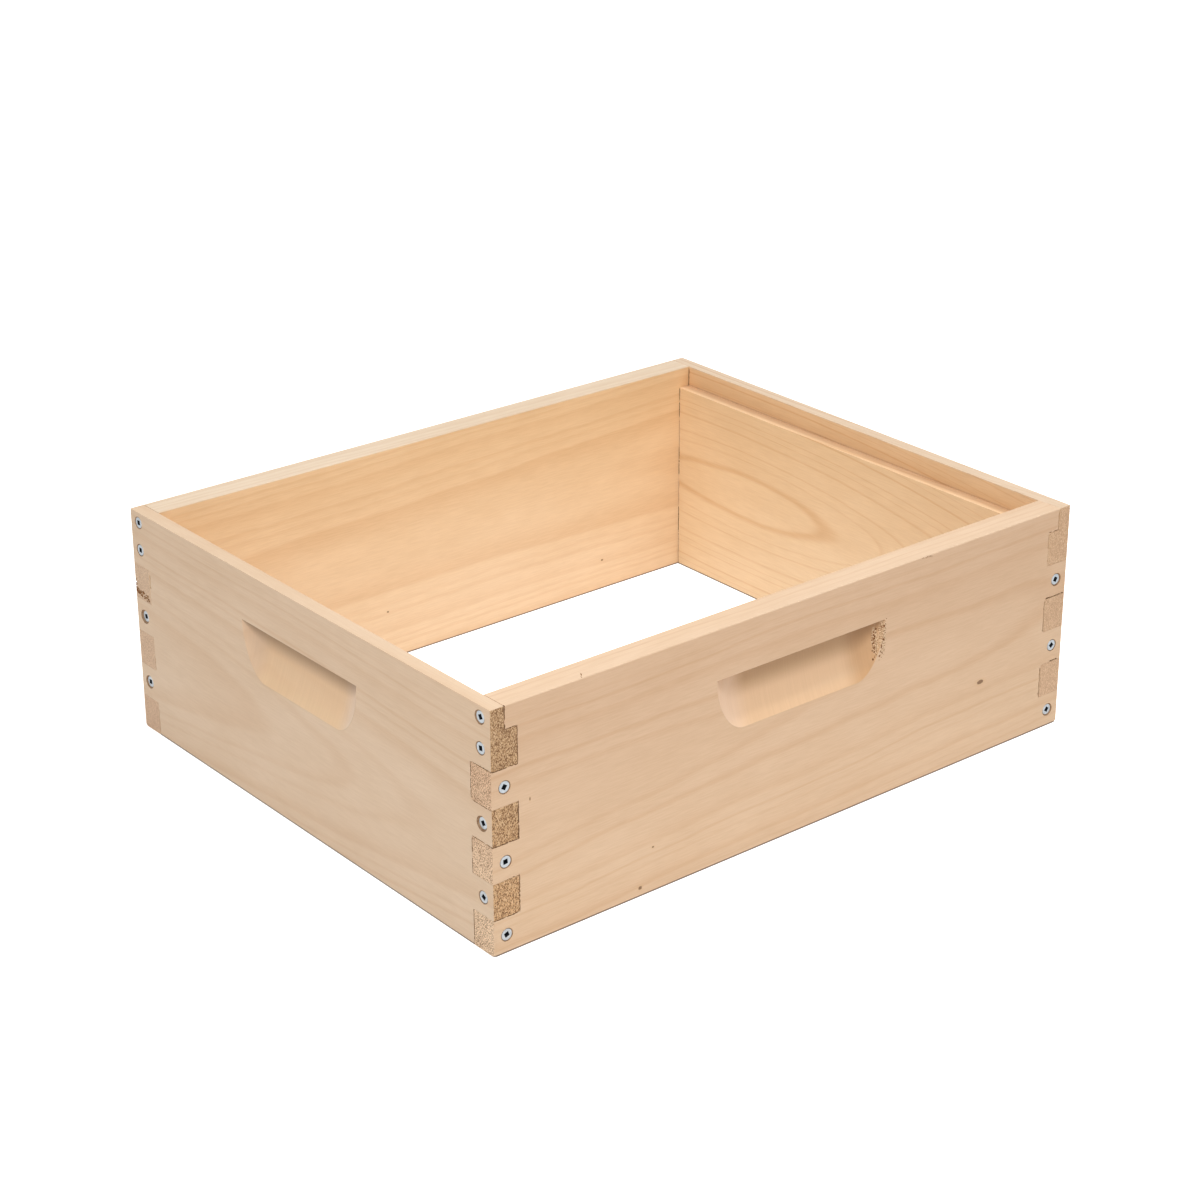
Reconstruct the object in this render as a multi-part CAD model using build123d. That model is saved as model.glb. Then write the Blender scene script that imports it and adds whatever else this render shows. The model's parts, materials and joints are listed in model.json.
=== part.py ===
from build123d import *
from math import radians, sqrt, tan
import os

# Ten-frame medium honey super: an open box of four softwood boards, finger jointed and screwed.
# The origin is the middle of the bottom rim. +Z is up, the front end board faces -Y and the
# right side board faces +X. All lengths are in millimetres.

# Outside of the box
super_width = 412.75
super_length = 508.0
super_height = 168.275

# Boards and the finger joints at the four corners
board_thickness = 20.0
finger_height = 25.4
side_finger_count = 3
joint_clearance = 0.15

# Frame rest: a rabbet along the inner top edge of each end board
rest_depth = 15.9
rest_width = 9.5

# Hand holds: scooped by a round cutter, deepest under the square upper edge and running out at the bottom
hold_drop = 35.9
hold_height = 40.0
hold_depth = 10.0
hold_cutter_radius = 36.0
end_hold_width = 133.0
side_hold_width = 149.0

# Wood screws: flat countersunk head, square drive, shank of the thread's outer size and a sharp point
screw_length = 45.0
screw_head_diameter = 8.4
screw_head_angle = 82.0
screw_shank_diameter = 4.2
screw_point_length = 5.0
screw_sink = 0.3
screw_clearance = 0.1
drive_width = 2.9
drive_depth = 2.4
drive_taper = 3.0
drive_turn_step = 37.0

# How far a cutter runs past the face that it opens
overrun = 2.0

# Outer faces of the two boards that are drawn: the rear and left boards are the same, turned half round
front_face = Plane.XZ.offset(super_length / 2)
right_face = Plane.YZ.offset(super_width / 2)
half_turn = Rot(0, 0, 180)

# Heights that the joints, the frame rests and the screws share
top_finger_bottom = (2 * side_finger_count - 1) * finger_height
rest_height = super_height - rest_depth
side_finger_bottoms = [2 * i * finger_height for i in range(side_finger_count)]
end_finger_bottoms = [bottom + finger_height for bottom in side_finger_bottoms[:-1]]
socket_depth = board_thickness + joint_clearance


def corner_notch(board_length, depth, bottom, top):
    """Pair of rectangles that take the same notch out of both ends of a board's outline."""
    notch = Rectangle(depth + overrun, top - bottom)
    reach = board_length / 2 - depth / 2 + overrun / 2
    middle = (bottom + top) / 2
    return Pos(reach, middle) * notch + Pos(-reach, middle) * notch


def blank(board_length):
    """Outline of a board before its fingers are cut, standing on its lower edge."""
    return Pos(0, super_height / 2) * Rectangle(board_length, super_height)


def hand_hold(width):
    """Cutter for a hand hold whose upper edge is centred on a board drawn with its outer face at z = 0."""
    floor_radius = (hold_height ** 2 + hold_depth ** 2) / (2 * hold_depth)
    reach = hold_depth + overrun
    drop = sqrt(reach * (2 * floor_radius - reach))
    floor = TangentArc((hold_cutter_radius, 0), (hold_cutter_radius - reach, -drop), tangent=(0, -1))
    section = make_face([floor, Polyline(floor @ 1, (0, -drop), (0, 0), floor @ 0)])
    axis_height = hold_cutter_radius - hold_depth
    travel = width / 2 - sqrt(hold_cutter_radius ** 2 - axis_height ** 2)
    head = revolve(section, Axis.Y)
    scoop = extrude(Plane((0, 0, 0), x_dir=(0, 0, -1), z_dir=(1, 0, 0)) * section, amount=travel, both=True)
    scoop += [Pos(travel, 0, 0) * head, Pos(-travel, 0, 0) * head]
    return Pos(0, super_height - hold_drop, axis_height) * scoop


def frame_rest(length, depth):
    """Cutter for the rabbet along the inner top edge of an end board, centred on its length."""
    section = Rectangle(depth + overrun, rest_width + overrun)
    place = Pos(super_height - depth / 2 + overrun / 2, -board_thickness + rest_width / 2 - overrun / 2)
    return extrude(Plane.YZ * place * section, amount=length / 2, both=True)


def end_board():
    """Short board: it carries the frame rest, and its fingers lap the ends of the side boards."""
    outline = blank(super_width)
    for bottom in side_finger_bottoms:
        lower = bottom - joint_clearance if bottom else -overrun
        upper = bottom + finger_height + joint_clearance
        outline -= corner_notch(super_width, socket_depth, lower, upper)
    board = extrude(outline, amount=-board_thickness)
    board -= frame_rest(super_width + overrun, rest_depth)
    tongue_seat = frame_rest(socket_depth + overrun, rest_depth + joint_clearance)
    seat_reach = super_width / 2 - socket_depth / 2 + overrun / 2
    board -= [Pos(seat_reach, 0) * tongue_seat, Pos(-seat_reach, 0) * tongue_seat]
    return board - hand_hold(end_hold_width)


def side_board():
    """Long board: a tongue at each top corner fills the end of the frame rest."""
    outline = blank(super_length)
    for bottom in end_finger_bottoms:
        outline -= corner_notch(super_length, socket_depth, bottom, bottom + finger_height)
    outline -= corner_notch(super_length, socket_depth, top_finger_bottom, rest_height)
    upstand = board_thickness - rest_width + joint_clearance
    outline -= corner_notch(super_length, upstand, rest_height, super_height + overrun)
    return extrude(outline, amount=-board_thickness) - hand_hold(side_hold_width)


def screw_body(clearance, mouth, point_length):
    """Screw about Z, its head's top at z = 0; clearance widens it, mouth runs its cone on upwards."""
    head_radius = screw_head_diameter / 2 + clearance
    shank_radius = screw_shank_diameter / 2 + clearance
    head_slope = tan(radians(screw_head_angle / 2))
    profile = Polyline(
        (0, mouth),
        (head_radius + mouth * head_slope, mouth),
        (shank_radius, (shank_radius - head_radius) / head_slope),
        (shank_radius, point_length - screw_length - clearance),
        (0, -screw_length - clearance),
        close=True,
    )
    return revolve(Plane.XZ * make_face(profile), Axis.Z)


def wood_screw():
    """One screw with its tapered square drive recess."""
    drive = extrude(Rectangle(drive_width, drive_width), amount=-drive_depth, taper=drive_taper)
    return screw_body(0, 0, screw_point_length) - drive


def corner_screw_places(side, end):
    """Places by name of one corner's seven screws; side is -1 left or 1 right, end is -1 front or 1 rear."""
    middle = board_thickness / 2
    corner = ("rear" if end > 0 else "front") + ("_right" if side > 0 else "_left")
    end_heights = [super_height - rest_depth / 2, (top_finger_bottom + rest_height) / 2]
    end_heights += [bottom + finger_height / 2 for bottom in reversed(end_finger_bottoms)]
    side_heights = [bottom + finger_height / 2 for bottom in reversed(side_finger_bottoms)]
    places = {}
    for number, height in enumerate(end_heights, start=1):
        head = (side * (super_width / 2 - middle), end * (super_length / 2 - screw_sink), height)
        places[f"{corner}_end_screw_{number}"] = Plane(head, (0, 0, 1), (0, end, 0))
    for number, height in enumerate(side_heights, start=1):
        head = (side * (super_width / 2 - screw_sink), end * (super_length / 2 - middle), height)
        places[f"{corner}_side_screw_{number}"] = Plane(head, (0, 0, 1), (side, 0, 0))
    return places


# Boards where they stand, before their screw holes
front = front_face * end_board()
right = right_face * side_board()
boards = {
    "front_end_board": front,
    "rear_end_board": half_turn * front,
    "right_side_board": right,
    "left_side_board": half_turn * right,
}

# Screws, each turned a little further than the last, and the flat-bottomed holes that they need
screw = wood_screw()
bore = screw_body(screw_clearance, screw_sink + overrun, 0)
parts = {}
for end in (-1, 1):
    for side in (-1, 1):
        places = corner_screw_places(side, end)
        bores = [place * bore for place in places.values()]
        boards["rear_end_board" if end > 0 else "front_end_board"] -= bores
        boards["right_side_board" if side > 0 else "left_side_board"] -= bores
        for name, place in places.items():
            parts[name] = place * Rot(0, 0, drive_turn_step * len(parts)) * screw
parts.update(boards)

os.makedirs("parts", exist_ok=True)
for name, part in parts.items():
    export_step(part, f"parts/{name}.step")
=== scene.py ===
import json
import random
from math import pi, radians

import bmesh
import bpy
from mathutils import Matrix, Vector, noise
from mathutils.bvhtree import BVHTree


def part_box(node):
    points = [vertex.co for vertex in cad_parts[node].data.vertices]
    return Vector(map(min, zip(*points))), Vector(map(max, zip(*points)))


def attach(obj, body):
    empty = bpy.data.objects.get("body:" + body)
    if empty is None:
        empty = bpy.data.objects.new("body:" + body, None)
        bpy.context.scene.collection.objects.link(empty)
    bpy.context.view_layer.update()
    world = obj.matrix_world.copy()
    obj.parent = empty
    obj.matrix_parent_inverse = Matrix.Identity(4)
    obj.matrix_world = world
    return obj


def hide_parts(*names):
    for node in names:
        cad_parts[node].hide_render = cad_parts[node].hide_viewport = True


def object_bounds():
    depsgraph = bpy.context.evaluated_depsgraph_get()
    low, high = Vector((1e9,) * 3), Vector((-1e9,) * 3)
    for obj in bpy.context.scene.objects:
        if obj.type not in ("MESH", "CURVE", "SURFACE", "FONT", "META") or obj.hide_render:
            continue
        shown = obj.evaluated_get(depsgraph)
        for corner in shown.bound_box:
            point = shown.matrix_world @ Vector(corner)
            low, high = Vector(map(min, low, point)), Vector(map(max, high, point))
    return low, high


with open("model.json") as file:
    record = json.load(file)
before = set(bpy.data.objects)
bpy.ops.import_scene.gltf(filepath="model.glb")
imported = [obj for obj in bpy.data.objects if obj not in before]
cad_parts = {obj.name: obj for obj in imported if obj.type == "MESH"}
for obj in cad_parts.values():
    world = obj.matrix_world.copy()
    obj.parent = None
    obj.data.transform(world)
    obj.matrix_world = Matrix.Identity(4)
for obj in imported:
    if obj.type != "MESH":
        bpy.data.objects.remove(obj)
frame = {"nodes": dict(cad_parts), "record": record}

bl_info = {
    "name": "Bare Softwood Hive Super",
    "version": (1, 0, 0),
    "blender": (4, 5, 0),
    "location": "View3D > Sidebar > Hive",
    "description": "Dresses the four boards and the corner screws of a bare softwood hive super",
    "category": "Object",
}

MM = 0.001
BODY = "root"

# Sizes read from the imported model
CAD_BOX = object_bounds()
HALF_WIDTH = CAD_BOX[1].x
HALF_LENGTH = CAD_BOX[1].y
HEIGHT = CAD_BOX[1].z
RIGHT_LOW, RIGHT_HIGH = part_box("right_side_board")
BOARD_THICKNESS = RIGHT_HIGH.x - RIGHT_LOW.x
SCREW_NODES = sorted(name for name in frame["nodes"] if "_screw_" in name)
SCREW_LOW, SCREW_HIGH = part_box("front_left_end_screw_1")
SCREW_LENGTH = SCREW_HIGH.y - SCREW_LOW.y
SCREW_HEAD = SCREW_HIGH.x - SCREW_LOW.x
HOLD_LIP = HEIGHT - 35.9 * MM
REST_HEIGHT = next(m["pos_m"][2] for m in frame["record"]["mounts"] if m["name"] == "rear_frame_rest")

# Tints of a hand hold. The floor tint gives the milled wood its colour; the rest is painted light:
# painted light and shade on the end walls towards the start and the finish of the grain, a painted
# highlight on the foot of the scoop and a painted shadow under the lip. That shadow is gone where the
# scoop lies lip_run times as far under the lip as it is deep, and at the start it keeps only a share of
# its strength, start_shade.
END_HOLD = {
    "floor": (1.045, 0.970, 0.925), "start": (0.850, 0.870, 0.950), "finish": (1.030, 1.140, 1.400),
    "foot": (1.000, 1.020, 1.020), "lip": (0.430, 0.380, 0.330), "lip_run": 2.5, "start_shade": 0.85,
}
SIDE_HOLD = {
    "floor": (0.958, 0.872, 0.842), "start": (1.070, 1.125, 1.270), "finish": (0.770, 0.675, 0.560),
    "foot": (1.080, 1.070, 1.040), "lip": (0.610, 0.550, 0.450), "lip_run": 3.4, "start_shade": 0.45,
}

# How each board was sawn and looks. In a board's own frame X runs along the grain, Y from the outer face
# to the inner one and Z up, from the board's middle. The pith of its log is a line along the board that
# may run out of it, climb or bow. Spring is the pale share of a ring, and bands is how strongly the dark
# summer wood shows. Tints of the outer and the inner face and the colours of the sawn ends are given at
# the board's foot and at its top; the outer tint turns darker towards the top, a painted shade. Edge is
# the tint of the top edge, a painted sheen and shade.
BOARD_LOOKS = {
    "front_end_board": {
        "turn": 0.0, "pith_depth": 63.5 * MM, "pith_height": -18 * MM, "run_out": 0.053, "climb": 0.02,
        "bow": 0.0, "bow_centre": 0.0, "ring_width": 6.5 * MM, "wander": 5 * MM, "spring": 0.30,
        "bands": 0.32,
        "outer": ((0.882, 0.900, 1.000), (0.859, 0.845, 0.902)),
        "inner": ((1.000, 1.010, 1.050), (1.020, 0.990, 0.960)),
        "edge": (0.924, 0.920, 0.990), "hold": END_HOLD,
        "ends": ((0.665, 0.390, 0.184), (0.505, 0.303, 0.148)), "end_pits": 1.0,
    },
    "rear_end_board": {
        "turn": pi, "pith_depth": -72 * MM, "pith_height": -3 * MM, "run_out": 0.0, "climb": 0.008,
        "bow": -0.21, "bow_centre": 113 * MM, "ring_width": 4.2 * MM, "wander": 2.2 * MM, "spring": 0.60,
        "bands": 0.64,
        "outer": ((0.890, 0.875, 0.920), (0.860, 0.835, 0.860)),
        "inner": ((1.010, 1.035, 1.060), (1.010, 0.985, 0.940)),
        "edge": (0.925, 0.955, 1.075), "hold": END_HOLD,
        "ends": ((0.660, 0.430, 0.270), (0.625, 0.395, 0.235)), "end_pits": 0.25,
    },
    "right_side_board": {
        "turn": -pi / 2, "pith_depth": 78 * MM, "pith_height": 9 * MM, "run_out": 0.012, "climb": 0.022,
        "bow": 0.0, "bow_centre": 0.0, "ring_width": 6.0 * MM, "wander": 7 * MM, "spring": 0.36,
        "bands": 0.34,
        "outer": ((0.893, 0.855, 0.877), (0.805, 0.725, 0.717)),
        "inner": ((1.000, 1.010, 1.050), (1.020, 0.990, 0.950)),
        "edge": (0.945, 0.925, 0.990), "hold": SIDE_HOLD,
        "ends": ((0.940, 0.690, 0.470), (0.760, 0.475, 0.295)), "end_pits": 0.85,
    },
    "left_side_board": {
        "turn": pi / 2, "pith_depth": -84 * MM, "pith_height": 4 * MM, "run_out": -0.010, "climb": -0.014,
        "bow": 0.0, "bow_centre": 0.0, "ring_width": 5.0 * MM, "wander": 6 * MM, "spring": 0.15,
        "bands": 0.40,
        "outer": ((0.890, 0.860, 0.880), (0.820, 0.760, 0.760)),
        "inner": ((1.000, 1.005, 1.050), (1.035, 0.980, 0.900)),
        "edge": (0.983, 1.062, 1.240), "hold": SIDE_HOLD,
        "ends": ((0.680, 0.465, 0.317), (0.725, 0.520, 0.358)), "end_pits": 0.30,
    },
}

# Pin knots and small marks, in millimetres in a board's own frame: middle, then half sizes
KNOTS = {
    "right_side_board": [
        ((171.2, -10.0, -27.3), (3.4, 4.0, 1.7)),
        ((-137.6, -10.0, -77.8), (1.6, 4.0, 1.3)),
        ((-127.0, -10.0, -51.9), (0.9, 3.0, 0.7)),
        ((-224.9, -10.0, 15.8), (0.5, 2.0, 1.3)),
    ],
    "left_side_board": [
        ((54.4, 10.0, -45.2), (1.0, 3.0, 0.7)),
        ((-153.6, 10.0, -59.3), (1.1, 3.0, 0.8)),
        ((121.0, -10.0, 38.0), (2.2, 4.0, 1.5)),
    ],
    "rear_end_board": [
        ((-96.0, -10.0, -44.0), (2.6, 4.0, 1.6)),
    ],
}

# Patches of frayed fibre, in millimetres in a board's own frame: middle, then half sizes
FRAYS = {
    "right_side_board": [
        ((73.4, -8.0, 35.0), (3.0, 5.0, 15.0)),
        ((68.5, -6.0, 31.5), (2.3, 5.0, 12.5)),
    ],
}

# Runs of torn fibre, in millimetres in the box's frame: both ends, how far the pits stray, their count
# and their mean size
TEARS = {
    "right_side_board": [
        ((206.4, 75.4, 131.8), (206.4, 71.0, 104.0), 1.1, 28, 0.52),
        ((203.0, 69.0, 127.0), (204.4, 67.2, 105.0), 1.2, 24, 0.52),
        ((200.4, -180.2, 168.3), (206.4, -184.6, 168.3), 0.3, 9, 0.38),
        ((206.4, 107.0, 167.4), (206.4, 117.0, 167.0), 0.4, 12, 0.40),
    ],
    "left_side_board": [
        ((-205.8, -254.0, 114.5), (-204.4, -254.0, 105.5), 1.2, 24, 0.75),
        ((-205.0, -254.0, 107.5), (-196.0, -254.0, 105.5), 2.0, 28, 0.80),
        ((-198.0, -254.0, 106.0), (-187.4, -254.0, 104.0), 2.0, 30, 0.80),
    ],
}
TEAR_SEED = 14

# Seams that stand open, in millimetres in the box's frame: both ends and the mean half width of the gap
OPEN_SEAMS = {
    "right_side_board": [
        ((206.37, -243.3, 168.0), (206.37, -243.3, 152.6), 0.34),
        ((206.37, -243.3, 152.4), (206.37, -234.0, 152.4), 0.24),
        ((206.37, -233.8, 152.0), (206.37, -233.8, 127.2), 0.20),
        ((206.37, -253.6, 127.0), (206.37, -234.0, 127.0), 0.36),
        ((206.37, -233.8, 101.4), (206.37, -233.8, 76.4), 0.26),
        ((206.37, -253.6, 76.1), (206.37, -234.0, 76.1), 0.30),
        ((206.37, -233.8, 50.6), (206.37, -233.8, 25.6), 0.28),
        ((206.37, -246.0, 50.8), (206.37, -234.0, 50.8), 0.26),
        ((206.37, -253.6, 25.3), (206.37, -236.0, 25.3), 0.24),
        ((206.37, 243.3, 166.0), (206.37, 243.3, 152.6), 0.50),
        ((206.37, 243.0, 152.5), (206.37, 234.0, 152.5), 0.30),
        ((206.37, 233.8, 152.0), (206.37, 233.8, 130.0), 0.32),
        ((206.37, 253.6, 101.7), (206.37, 235.2, 101.7), 0.55),
        ((206.37, 233.8, 100.0), (206.37, 233.8, 77.0), 0.58),
        ((206.37, 233.8, 49.0), (206.37, 233.8, 26.0), 0.58),
        ((206.37, 250.0, 50.9), (206.37, 241.0, 50.9), 0.52),
    ],
    "front_end_board": [
        ((186.2, -253.99, 127.0), (186.2, -253.99, 101.6), 0.30),
        ((186.4, -253.99, 127.2), (205.9, -253.99, 127.2), 0.34),
        ((187.0, -253.99, 101.4), (205.0, -253.99, 101.4), 0.20),
        ((186.2, -253.99, 76.0), (186.2, -253.99, 50.8), 0.26),
        ((186.4, -253.99, 76.4), (205.9, -253.99, 76.4), 0.32),
        ((186.2, -253.99, 25.0), (186.2, -253.99, 4.0), 0.14),
        ((-186.0, -253.99, 124.6), (-186.0, -253.99, 114.0), 0.55),
        ((-186.2, -253.99, 60.0), (-186.2, -253.99, 51.0), 0.24),
        ((-186.2, -253.99, 20.0), (-186.2, -253.99, 1.5), 0.26),
    ],
    "rear_end_board": [
        ((-186.2, 234.01, 151.6), (-186.2, 234.01, 1.0), 0.26),
        ((-186.3, 243.5, 167.6), (-186.3, 243.5, 153.0), 0.36),
    ],
}

# Rounding of the box's four lower corners
CORNER_WEAR = 3.0 * MM

# A face in the wall of a screw hole is no larger than this and lies no farther from the screw's axis
BORE_FACE_AREA = 40 * MM * MM
BORE_REACH = SCREW_HEAD * 0.62

# How dark the cut faces are made: torn fibre takes its brown colour, and seams and screw seats a darker
# painted shade
WEAR_AND_SHADE_LEVELS = {"face": 0.0, "torn": 0.50, "seam": 0.90, "seat": 0.80}

# Screws that were driven deeper than the rest, in millimetres
DEEP_SCREWS = {
    "front_right_end_screw_1": 0.30, "front_right_end_screw_3": 0.75, "front_left_end_screw_3": 0.80,
    "front_left_end_screw_4": 0.50, "rear_right_side_screw_1": 0.35, "rear_right_side_screw_3": 0.35,
    "rear_left_end_screw_2": 0.60, "rear_left_side_screw_1": 0.40, "rear_right_end_screw_4": 0.55,
}


class HiveWoodSettings(bpy.types.PropertyGroup):
    """Finish of the boards."""

    face_colour: bpy.props.FloatVectorProperty(
        name="Face", description="Pale spring wood of a planed face", subtype="COLOR", size=4,
        default=(0.816, 0.600, 0.379, 1.0), min=0.0, max=1.0)
    band_colour: bpy.props.FloatVectorProperty(
        name="Band", description="Darker summer wood of a growth ring", subtype="COLOR", size=4,
        default=(0.665, 0.400, 0.192, 1.0), min=0.0, max=1.0)
    # The pit colour is also the painted shade in open seams and screw seats
    pit_colour: bpy.props.FloatVectorProperty(
        name="Pits", description="Dark pores and the depths of seams", subtype="COLOR", size=4,
        default=(0.205, 0.100, 0.040, 1.0), min=0.0, max=1.0)
    torn_colour: bpy.props.FloatVectorProperty(
        name="Torn fibre", description="Frayed and torn fibre", subtype="COLOR", size=4,
        default=(0.250, 0.098, 0.022, 1.0), min=0.0, max=1.0)
    easing: bpy.props.FloatProperty(
        name="Edge easing", description="Width sanded off the free edges", unit="LENGTH",
        default=0.4 * MM, min=0.0)


class HiveScrewSettings(bpy.types.PropertyGroup):
    """Sizes and finish of the corner screws."""

    zinc_colour: bpy.props.FloatVectorProperty(
        name="Zinc", description="Bright plating of the heads", subtype="COLOR", size=4,
        default=(0.50, 0.54, 0.57, 1.0), min=0.0, max=1.0)
    # Painted shade on the walls of the square drive
    recess_shade_colour: bpy.props.FloatVectorProperty(
        name="Recess", description="Shaded wall of the square drive", subtype="COLOR", size=4,
        default=(0.045, 0.052, 0.064, 1.0), min=0.0, max=1.0)
    head_angle: bpy.props.FloatProperty(
        name="Head angle", description="Angle of the countersunk cone", subtype="ANGLE",
        default=radians(82))
    rim: bpy.props.FloatProperty(
        name="Rim", description="Rounding of the head's edge", unit="LENGTH", default=0.22 * MM)
    shank_diameter: bpy.props.FloatProperty(
        name="Shank", description="Diameter of the plain shank and of the thread", unit="LENGTH",
        default=4.2 * MM)
    core_diameter: bpy.props.FloatProperty(
        name="Core", description="Diameter under the thread", unit="LENGTH", default=3.0 * MM)
    shank_length: bpy.props.FloatProperty(
        name="Shank length", description="From the top of the head to the thread", unit="LENGTH",
        default=18 * MM)
    point_length: bpy.props.FloatProperty(
        name="Point length", description="Length of the tapered point", unit="LENGTH", default=5 * MM)
    drive_width: bpy.props.FloatProperty(
        name="Drive width", description="Across the square recess", unit="LENGTH", default=3.4 * MM)
    drive_depth: bpy.props.FloatProperty(
        name="Drive depth", description="Depth of the square recess", unit="LENGTH", default=2.4 * MM)
    thread_pitch: bpy.props.FloatProperty(
        name="Thread pitch", description="Rise of the thread in one turn", unit="LENGTH",
        default=2.4 * MM)
    turn_seed: bpy.props.IntProperty(
        name="Turn seed", description="Picks how far each screw was driven round", default=5, min=0)


class HiveStageSettings(bpy.types.PropertyGroup):
    """Camera and light."""

    camera_place: bpy.props.FloatVectorProperty(
        name="Camera", description="Place of the camera", subtype="TRANSLATION", size=3,
        default=(1.35843, -1.11283, 0.87652))
    camera_yaw: bpy.props.FloatProperty(
        name="Yaw", description="Turn of the camera to the left", subtype="ANGLE",
        default=radians(50.381))
    camera_pitch: bpy.props.FloatProperty(
        name="Pitch", description="Tilt of the camera below the horizon", subtype="ANGLE",
        default=radians(22.911))
    camera_lens: bpy.props.FloatProperty(
        name="Lens", description="Focal length on a 36 mm sensor", subtype="DISTANCE_CAMERA",
        default=81.60)
    camera_shift: bpy.props.FloatVectorProperty(
        name="Shift", description="Shift of the lens that frames the photograph", size=2,
        default=(-0.01163, -0.04054))
    key_place: bpy.props.FloatVectorProperty(
        name="Overhead light", description="Place of the soft box", subtype="TRANSLATION", size=3,
        default=(0.25, 0.05, 1.45))
    key_power: bpy.props.FloatProperty(
        name="Overhead power", description="Power of the soft box", subtype="POWER",
        default=15.5, min=0.0)
    fill_place: bpy.props.FloatVectorProperty(
        name="Fill light", description="Place of the soft box by the camera", subtype="TRANSLATION",
        size=3, default=(0.90, -0.90, 1.35))
    fill_power: bpy.props.FloatProperty(
        name="Fill power", description="Power of the soft box by the camera", subtype="POWER",
        default=8.5, min=0.0)
    sky_strength: bpy.props.FloatProperty(
        name="Room light", description="Even light from all round", default=0.35, min=0.0)
    floor_glow: bpy.props.FloatProperty(
        name="Floor glow", description="Light that the floor itself throws up", default=0.32, min=0.0)
    floor_lift: bpy.props.FloatProperty(
        name="Floor lift", description="How far the bare floor is raised to white in view",
        default=0.55, min=0.0)


class NodeBench:
    """Adds nodes to one tree. An input takes a socket, which is linked, or a value, which is set."""

    def __init__(self, tree):
        self.tree = tree

    def feed(self, socket, value):
        if isinstance(value, bpy.types.NodeSocket):
            self.tree.links.new(value, socket)
        elif socket.type == "RGBA":
            socket.default_value = (*value[:3], 1.0)
        else:
            socket.default_value = value

    def add(self, kind, inputs=None, **settings):
        node = self.tree.nodes.new(kind)
        for name, value in settings.items():
            setattr(node, name, value)
        for name, value in (inputs or {}).items():
            self.feed(node.inputs[name], value)
        return node

    def group(self, tree, inputs):
        node = self.tree.nodes.new("ShaderNodeGroup")
        node.node_tree = tree
        for name, value in inputs.items():
            self.feed(node.inputs[name], value)
        return node.outputs

    def math(self, operation, *values):
        node = self.add("ShaderNodeMath", dict(enumerate(values)), operation=operation)
        return node.outputs[0]

    def times(self, product, *factors):
        """Product of two or more values."""
        for factor in factors:
            product = self.math("MULTIPLY", product, factor)
        return product

    def vector(self, operation, *values):
        node = self.add("ShaderNodeVectorMath", dict(enumerate(values)), operation=operation)
        return node.outputs["Value" if operation in ("DOT_PRODUCT", "LENGTH") else "Vector"]

    def split(self, point):
        return self.add("ShaderNodeSeparateXYZ", {0: point}).outputs

    def rise(self, value, low, high):
        """Smooth step from 0 at low to 1 at high."""
        inputs = {"Value": value, "From Min": low, "From Max": high}
        return self.add("ShaderNodeMapRange", inputs, interpolation_type="SMOOTHSTEP").outputs[0]

    def fall(self, value, low, high):
        """Smooth step from 1 at low to 0 at high."""
        return self.math("SUBTRACT", 1.0, self.rise(value, low, high))

    def span(self, value, low, high):
        """Straight line from low at 0 to high at 1."""
        return self.add("ShaderNodeMapRange", {"Value": value, "To Min": low, "To Max": high}).outputs[0]

    def noise(self, point, stretch, detail=2.0, roughness=0.5):
        """Value noise of a point that is first stretched along each axis."""
        stretched = self.vector("MULTIPLY", point, stretch)
        inputs = {"Vector": stretched, "Scale": 1.0, "Detail": detail, "Roughness": roughness}
        return self.add("ShaderNodeTexNoise", inputs).outputs[0]

    def blend(self, factor, first, second, mode="MIX"):
        inputs = {0: factor, 6: first, 7: second}
        return self.add("ShaderNodeMix", inputs, data_type="RGBA", blend_type=mode).outputs[2]

    def tint(self, colour, factor, shade, light):
        """Colour times a tint that runs from shade to light."""
        return self.blend(1.0, colour, self.blend(factor, shade, light), "MULTIPLY")


def label(name):
    """Socket label of a named value."""
    return name.replace("_", " ").title()


def node_group(name, inputs, outputs, tree_kind="ShaderNodeTree"):
    """New node group with named sockets; returns its bench, its inputs and its outputs."""
    tree = bpy.data.node_groups.new(name, tree_kind)
    for way, sockets in (("INPUT", inputs), ("OUTPUT", outputs)):
        for title, kind in sockets.items():
            tree.interface.new_socket(title, in_out=way, socket_type=f"NodeSocket{kind}")
    given = tree.nodes.new("NodeGroupInput").outputs
    return NodeBench(tree), given, tree.nodes.new("NodeGroupOutput").inputs


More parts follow.
